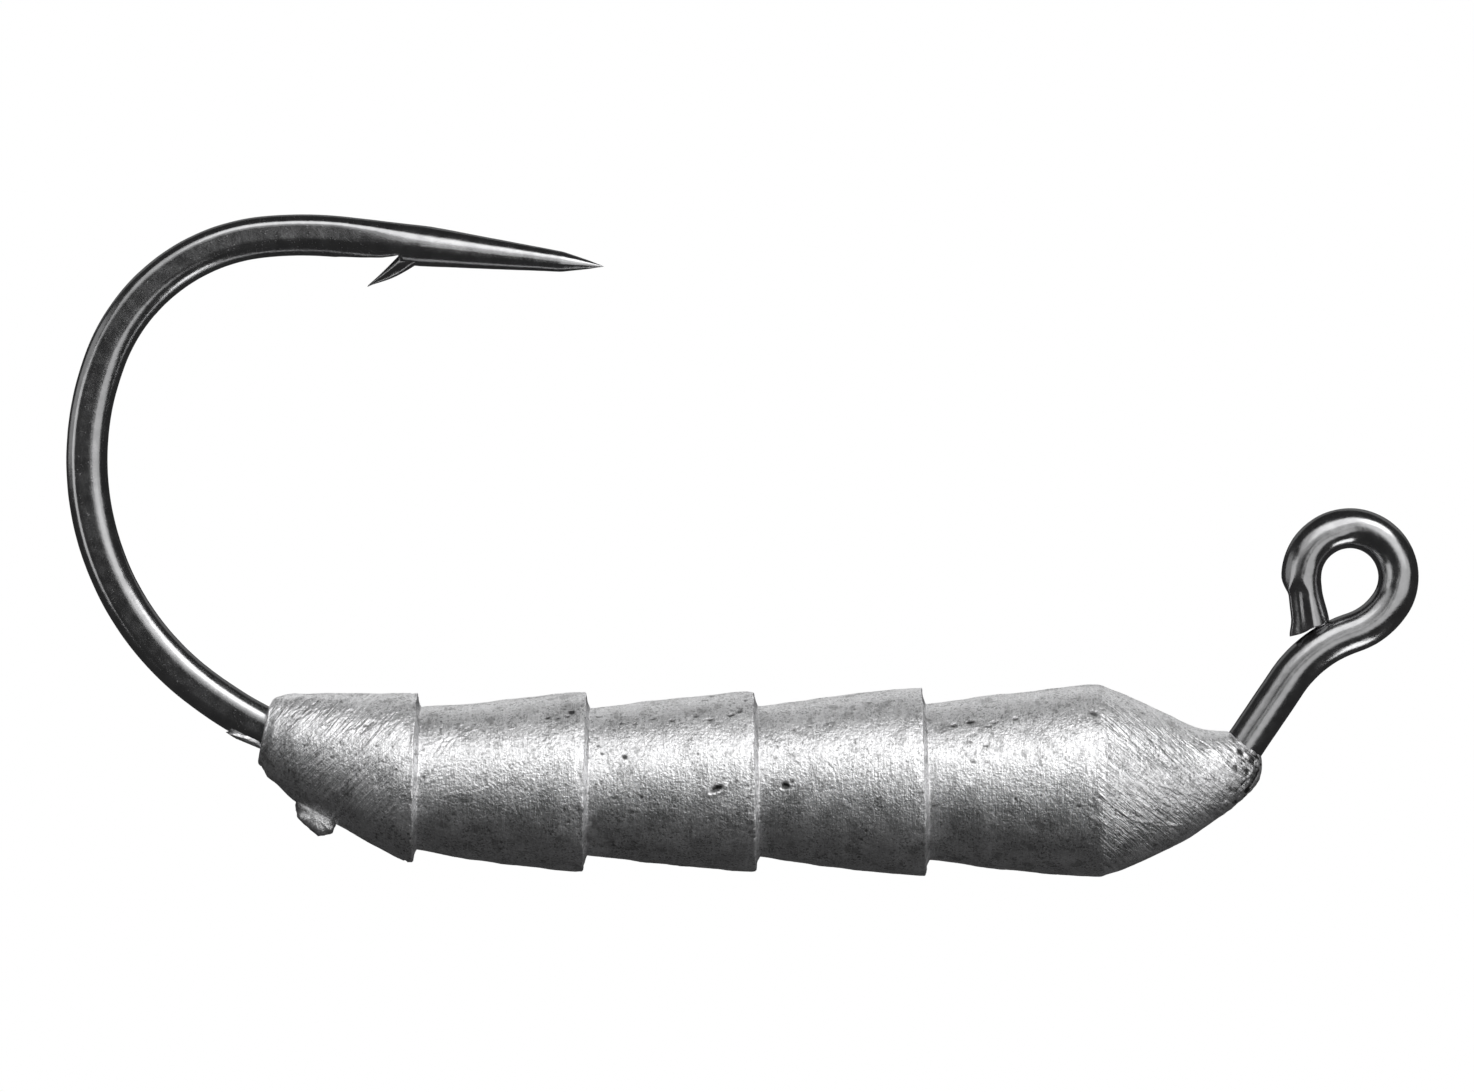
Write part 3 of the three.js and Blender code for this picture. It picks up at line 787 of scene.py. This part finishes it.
class Nodes:
    """A small helper that adds shader nodes and links them by name."""

    def __init__(self, name):
        self.material = bpy.data.materials.new(name)
        self.material.use_nodes = True
        self.tree = self.material.node_tree
        self.shader = self.tree.nodes["Principled BSDF"]

    def add(self, kind, inputs=None, **settings):
        node = self.tree.nodes.new(kind)
        for key, value in settings.items():
            setattr(node, key, value)
        for key, value in (inputs or {}).items():
            self.set(node.inputs[key], value)
        return node

    def set(self, socket, value):
        if isinstance(value, bpy.types.NodeSocket):
            self.tree.links.new(value, socket)
        elif isinstance(value, bpy.types.Node):
            self.tree.links.new(value.outputs[0], socket)
        else:
            socket.default_value = value

    def place(self, scale=(1.0, 1.0, 1.0)):
        """Object coordinates in millimetres, stretched by scale."""
        coords = self.add("ShaderNodeTexCoord").outputs["Object"]
        return self.add("ShaderNodeMapping", {"Vector": coords, "Scale": [s / MM for s in scale]})

    def noise(self, where, scale, detail, roughness, distortion=0.0):
        return self.add("ShaderNodeTexNoise", {
            "Vector": where, "Scale": scale, "Detail": detail, "Roughness": roughness,
            "Distortion": distortion}).outputs["Fac"]

    def span(self, value, low, high, to_low=0.0, to_high=1.0):
        return self.add("ShaderNodeMapRange", {
            "Value": value, "From Min": low, "From Max": high, "To Min": to_low, "To Max": to_high},
            interpolation_type="SMOOTHSTEP").outputs["Result"]

    def math(self, operation, a, b):
        return self.add("ShaderNodeMath", {0: a, 1: b}, operation=operation).outputs[0]

    def mix(self, factor, a, b):
        inputs = {"Factor": factor, MIX_A: a, MIX_B: b}
        return self.add("ShaderNodeMix", inputs, data_type="RGBA").outputs[MIX_RESULT]

    def attribute(self, name):
        return self.add("ShaderNodeAttribute", attribute_name=name).outputs["Fac"]

    def bump(self, height, strength, distance, normal=None):
        inputs = {"Height": height, "Strength": strength, "Distance": distance * MM}
        if normal is not None:
            inputs["Normal"] = normal
        return self.add("ShaderNodeBump", inputs).outputs["Normal"]

    def metal(self, colour, roughness, normal):
        """Join the finished inputs to the shader and hand over the material."""
        for socket, value in (("Base Color", colour), ("Roughness", roughness), ("Normal", normal)):
            self.set(self.shader.inputs[socket], value)
        self.shader.inputs["Metallic"].default_value = 1.0
        return self.material


def grey(value):
    """A grey with a trace of blue."""
    return (value, value, value * 1.01, 1.0)


def brushed(n, degrees, scale):
    """Noise drawn out into lines that lie `degrees` up from X in the plane of the bend."""
    turn = math.radians(degrees - 90.0)
    turned = n.add("ShaderNodeMapping", {"Vector": n.place(), "Rotation": (0.0, turn, 0.0)})
    stretched = n.add("ShaderNodeMapping", {"Vector": turned, "Scale": DRAWN_OUT})
    return n.noise(stretched, scale, *BRUSH_NOISE)


def lead_colour(n, plain, specks, fine, hatch):
    """Dark oxide gathers in specks and small patches; scraped metal stays bright."""
    mottle = n.span(n.noise(plain, *MOTTLE), 0.3, 0.7)
    colour = n.mix(mottle, grey(LEAD_DULL), grey(LEAD_CLEAN))
    patches = n.span(n.noise(plain, *FLECK_PATCHES), 0.35, 0.65, 0.25, 1.0)
    flecks = n.span(n.noise(plain, *GRAIN), 0.52, 0.40, 0.0, 0.75)
    colour = n.mix(n.math("MULTIPLY", flecks, patches), colour, grey(OXIDE_FLECK))
    colour = n.mix(n.span(fine, 0.53, 0.62, 0.0, 0.85), colour, grey(LEAD_SCRAPED))
    colour = n.mix(n.math("MULTIPLY", specks, 0.8), colour, grey(OXIDE_SPECK))
    stains = n.span(n.noise(plain, *STAINS), 0.54, 0.64)
    colour = n.mix(n.math("MULTIPLY", stains, 0.5), colour, grey(STAIN))
    colour = n.mix(n.span(hatch, 0.54, 0.66, 0.0, 0.6), colour, grey(LEAD_SCRAPED))
    return n.mix(n.math("MULTIPLY", n.attribute("pitted"), 0.95), colour, grey(DIRT))


def lead_material():
    n = Nodes("cast_lead_metal")
    plain = n.place()
    fine = n.noise(plain, *FINE_GRAIN)
    hatch = n.noise(n.place(HOOPED), *HATCH)
    clusters = n.span(n.noise(plain, *SPECK_CLUSTERS), 0.38, 0.66, 0.3, 1.0)
    specks = n.math("MULTIPLY", n.span(n.noise(plain, *SPECKS), 0.56, 0.66), clusters)
    colour = lead_colour(n, plain, specks, fine, hatch)
    rough = n.span(n.noise(plain, *MOTTLE), 0.3, 0.7, 0.36, 0.46)
    rough = n.math("ADD", rough, n.math("MULTIPLY", specks, 0.1))
    normal = n.bump(n.noise(plain, *LUMPY_SKIN), 1.0, 0.030)
    normal = n.bump(fine, 0.8, 0.008, normal)
    normal = n.bump(hatch, 1.0, 0.016, normal)
    for place, degrees, scale in BRUSHED:
        lines = n.math("MULTIPLY", brushed(n, degrees, scale), n.attribute(place))
        normal = n.bump(lines, 1.0, 0.09, normal)
        colour = n.mix(n.span(lines, 0.53, 0.64, 0.0, 0.75), colour, grey(LEAD_SCRAPED))
    return n.metal(colour, rough, normal)


def nickel_material():
    """Dark, glossy plating; fine dust shows on the forged flats more than elsewhere."""
    n = Nodes("black_nickel")
    plain = n.place()
    dust = n.noise(plain, *DUST)
    cloud = n.noise(plain, *CLOUD)
    dustiness = n.math("ADD", n.math("MULTIPLY", n.attribute("forged"), 0.34), 0.12)
    speckled = n.math("MULTIPLY", n.span(dust, 0.62, 0.70), dustiness)
    colour = n.mix(n.span(cloud, 0.3, 0.7), grey(NICKEL_LOW), grey(NICKEL_HIGH))
    colour = n.mix(speckled, colour, grey(NICKEL_DUST))
    rough = n.span(cloud, 0.3, 0.7, 0.15, 0.21)
    rough = n.math("ADD", rough, n.math("MULTIPLY", speckled, 0.4))
    normal = n.bump(n.noise(plain, *ORANGE_PEEL), 0.25, 0.01)
    normal = n.bump(dust, 0.4, 0.006, normal)
    normal = n.bump(n.noise(plain, *SATIN), 0.5, 0.0025, normal)
    return n.metal(colour, rough, normal)


# ---- stage, lights and camera ----

def aim(thing, position, target):
    thing.location = Vector(position) * MM
    direction = Vector(target) * MM - thing.location
    thing.rotation_euler = direction.to_track_quat("-Z", "Y").to_euler()


def light_group(name, pieces):
    """Pieces that some panels light alone, as a photographer's cards and flags would do it."""
    group = bpy.data.collections.new("lights_for_" + name)
    for piece in pieces:
        group.objects.link(piece)
    return group


def add_panel(name, position, target, size, radiance, lit=None):
    """An even diffuser panel, width and height in mm; it lights one group of pieces, or all."""
    light = bpy.data.lights.new(name, "AREA")
    light.shape = "RECTANGLE"
    light.size, light.size_y = size[0] * MM, size[1] * MM
    light.energy = radiance * math.pi * light.size * light.size_y
    holder = bpy.data.objects.new(name, light)
    bpy.context.scene.collection.objects.link(holder)
    aim(holder, position, target)
    holder.visible_camera = False
    if lit:
        holder.light_linking.receiver_collection = lit


WHITE = (1.0, 1.0, 1.0, 1.0)
SURROUND = 0.042       # how bright the dim room round the panels is
FLOOR_GAP = 0.2        # under the object, mm
FLOOR_REACH = 1200.0   # each way from the middle, mm
CLIP_NEAR, CLIP_FAR = 10.0, 10000.0    # mm
CAMERA_DISTANCE = 420.0
SENSOR = 36.0
FRAME_WIDTH = 1474.0 / 30.0    # mm of the object's plane that the picture's width takes in
VIEW_CENTRE = (-20.43, 0.0, 1.03)


def add_camera():
    data = bpy.data.cameras.new("camera")
    data.sensor_width = SENSOR
    data.lens = SENSOR * CAMERA_DISTANCE / FRAME_WIDTH
    data.clip_start, data.clip_end = CLIP_NEAR * MM, CLIP_FAR * MM
    camera = bpy.data.objects.new("camera", data)
    bpy.context.scene.collection.objects.link(camera)
    x, y, z = VIEW_CENTRE
    aim(camera, (x, y - CAMERA_DISTANCE, z), VIEW_CENTRE)
    bpy.context.scene.camera = camera


def build_world():
    """White behind the object for the camera, dim all round for the metal to reflect."""
    world = bpy.data.worlds.new("studio")
    bpy.context.scene.world = world
    world.use_nodes = True
    tree = world.node_tree
    path = tree.nodes.new("ShaderNodeLightPath")
    mix = tree.nodes.new("ShaderNodeMix")
    mix.data_type = "RGBA"
    tree.links.new(path.outputs["Is Camera Ray"], mix.inputs["Factor"])
    mix.inputs[MIX_A].default_value = grey(SURROUND)
    mix.inputs[MIX_B].default_value = WHITE
    tree.links.new(mix.outputs[MIX_RESULT], tree.nodes["Background"].inputs["Color"])


def floor_material():
    """An even white that no light or shadow changes."""
    material = bpy.data.materials.new("pale_floor")
    material.use_nodes = True
    tree = material.node_tree
    tree.nodes.remove(tree.nodes["Principled BSDF"])
    glow = tree.nodes.new("ShaderNodeEmission")
    glow.inputs["Color"].default_value = WHITE
    tree.links.new(glow.outputs[0], tree.nodes["Material Output"].inputs["Surface"])
    return material


def build_floor():
    """A pale floor just under the object. The metal reflects the panels below it instead."""
    centre = (cad_box[0] + cad_box[1]) / 2.0
    height = cad_box[0].z - FLOOR_GAP * MM
    corners = [(centre.x + a * FLOOR_REACH * MM, b * FLOOR_REACH * MM, height)
               for a, b in ((-1, -1), (1, -1), (1, 1), (-1, 1))]
    mesh = bpy.data.meshes.new("floor")
    mesh.from_pydata(corners, [], [(0, 1, 2, 3)])
    mesh.materials.append(floor_material())
    floor = bpy.data.objects.new("floor", mesh)
    bpy.context.scene.collection.objects.link(floor)
    floor.visible_glossy = False
    floor.visible_diffuse = False
    floor.visible_shadow = False


PANELS = (
    # name, position, target, width and height in mm, radiance, what it lights
    ("key", (62.0, -98.0, 112.0), (-10.0, 0.0, 0.0), (110.0, 70.0), 1.3, "all"),
    ("overhead", (21.0, -108.0, 112.0), (21.0, 0.0, 0.0), (218.0, 90.0), 1.8, "all"),
    ("overhead_left", (-129.0, -108.0, 112.0), (-129.0, 0.0, 0.0), (82.0, 90.0), 0.8, "hook"),
    ("lead_left", (-129.0, -108.0, 112.0), (-129.0, 0.0, 0.0), (82.0, 90.0), 1.8, "lead"),
    ("above_left", (-100.0, -150.0, 61.0), (-100.0, 0.0, 61.0), (190.0, 50.0), 0.55, "all"),
    ("front_above", (60.0, -160.0, 52.0), (60.0, 0.0, 52.0), (150.0, 80.0), 0.5, "hook"),
    ("lead_nose", (60.0, -160.0, 52.0), (60.0, 0.0, 52.0), (150.0, 80.0), 1.3, "lead"),
    ("side_card", (-75.0, -2.0, 16.0), (-42.0, -2.0, 16.0), (36.0, 27.0), 0.4, "hook"),
    ("front_fill", (-18.0, -150.0, 14.0), (-18.0, 0.0, 14.0), (28.0, 20.0), 0.7, "hook"),
    ("front_right", (157.0, -150.0, 8.0), (157.0, 0.0, 8.0), (304.0, 150.0), 0.85, "all"),
    ("left", (-190.0, -110.0, -5.0), (-40.0, 0.0, 0.0), (90.0, 130.0), 0.95, "hook"),
    ("lead_tail", (-190.0, -110.0, -5.0), (-40.0, 0.0, 0.0), (90.0, 130.0), 0.5, "lead"),
    ("low_glint", (55.0, -26.0, -137.0), (0.0, 0.0, 0.0), (80.0, 40.0), 2.6, "hook"),
    ("behind_above", (-20.0, 130.0, 100.0), (-20.0, 0.0, 0.0), (300.0, 100.0), 0.2, "hook"),
    ("lead_behind", (-20.0, 130.0, 100.0), (-20.0, 0.0, 0.0), (300.0, 100.0), 0.92, "lead"),
    ("lead_above", (-20.0, 10.0, 150.0), (-20.0, 0.0, 0.0), (300.0, 120.0), 0.3, "lead"),
    ("lead_front", (-20.0, -190.0, 25.0), (-20.0, 0.0, 0.0), (300.0, 60.0), 0.4, "lead"),
    ("lead_right", (118.0, -80.0, -52.0), (-6.0, 0.0, -6.0), (120.0, 64.0), 1.55, "lead"),
)


def light_studio(groups):
    for *panel, lit in PANELS:
        add_panel(*panel, groups.get(lit))


add_camera()
build_world()
build_floor()

lead = lead_material()
nickel = nickel_material()
hook_pieces = [
    add_piece("hook_wire", hook_mesh(), nickel, "hook"),
    add_piece("barb", barb_mesh(), nickel),
]
gate = slab_mesh("gate_stub", GATE_OUTLINE, GATE_HALF_DEPTH, GATE_ROUGHNESS, SEED + 200)
flash = slab_mesh("flash_fin", FLASH_OUTLINE, FLASH_HALF_DEPTH, FLASH_ROUGHNESS, SEED + 300)
lead_pieces = [
    add_piece("lead_casting", lead_mesh(), lead, "lead_body"),
    add_piece("gate_stub", gate, lead),
    add_piece("flash_fin", flash, lead),
]
light_studio({"hook": light_group("hook", hook_pieces), "lead": light_group("lead", lead_pieces)})

bpy.context.scene.view_settings.view_transform = "Standard"
